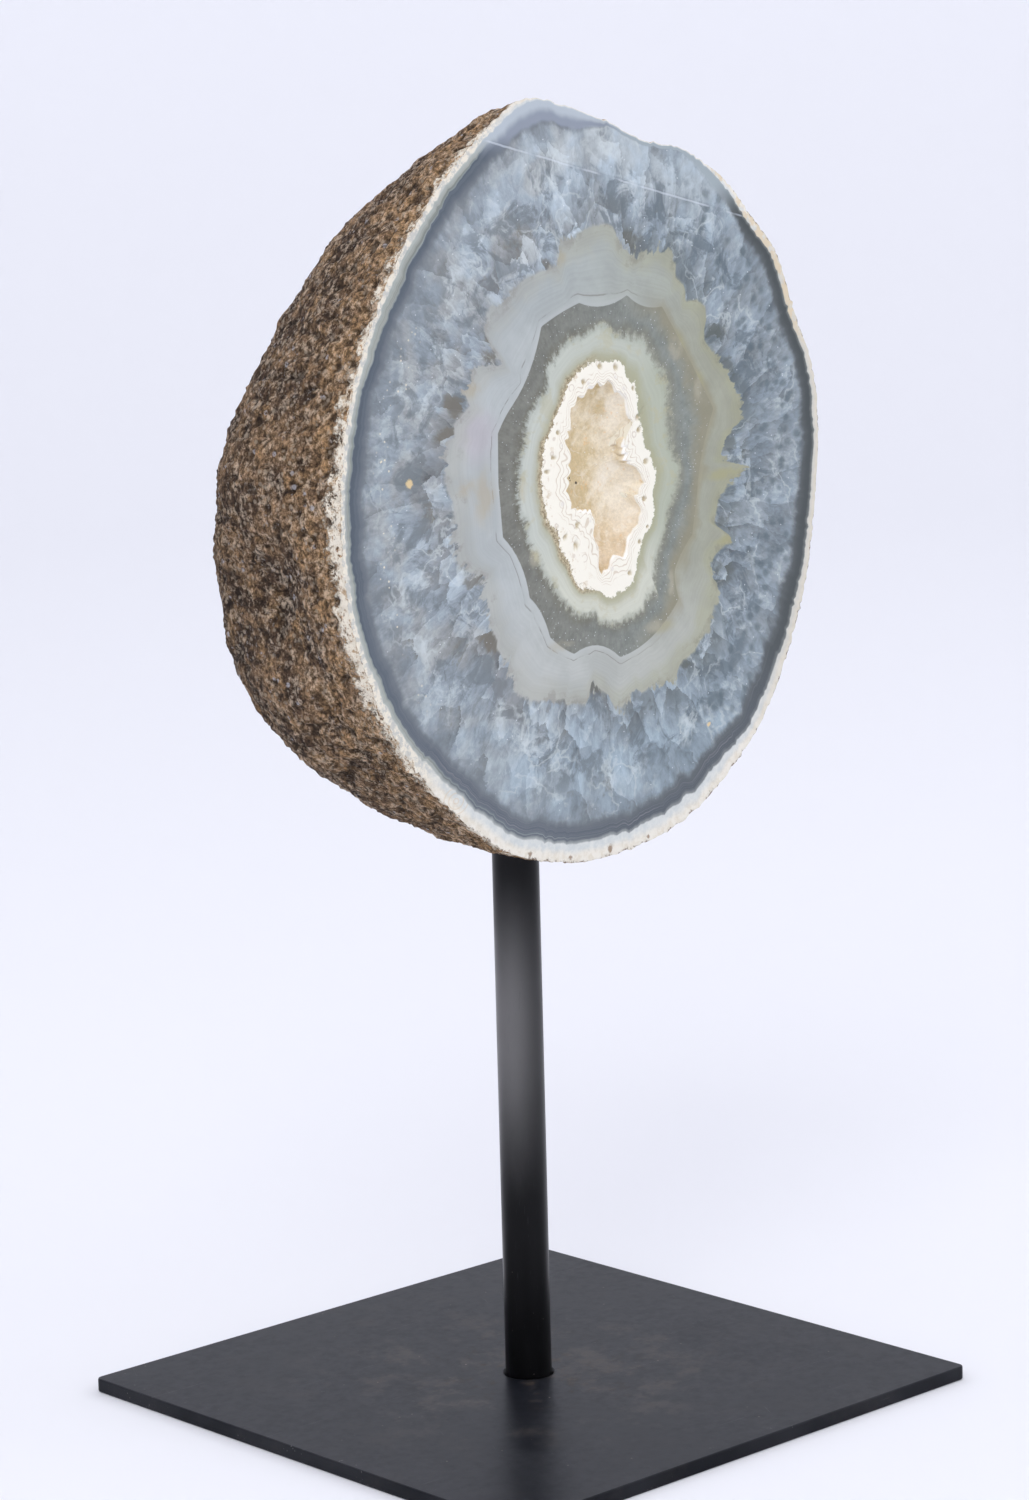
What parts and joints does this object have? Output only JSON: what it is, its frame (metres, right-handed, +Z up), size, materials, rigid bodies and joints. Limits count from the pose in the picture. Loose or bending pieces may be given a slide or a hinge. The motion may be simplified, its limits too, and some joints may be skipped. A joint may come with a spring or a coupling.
{
  "type": "agate geode half on an iron stand",
  "caption": "Half of an agate nodule with a polished banded face and a small crystal hollow, held on a round post over a square plate.",
  "frame": {"origin": "middle of the stand plate's underside", "axes": "+Z up along the post, the polished face looks along -Y, +X to the face's right as seen from in front"},
  "size_m": [0.2098, 0.2, 0.4128],
  "materials": {
    "black_iron": "satin black patina with fine scratches",
    "agate": "polished banded grey-blue face, rough brown rind",
    "crystal": "cream rounded crystal crust"
  },
  "bodies": {
    "root": {"base_plate": "black_iron", "post": "black_iron", "stone": "agate", "vug_crust": "crystal"}
  },
  "joints": []
}
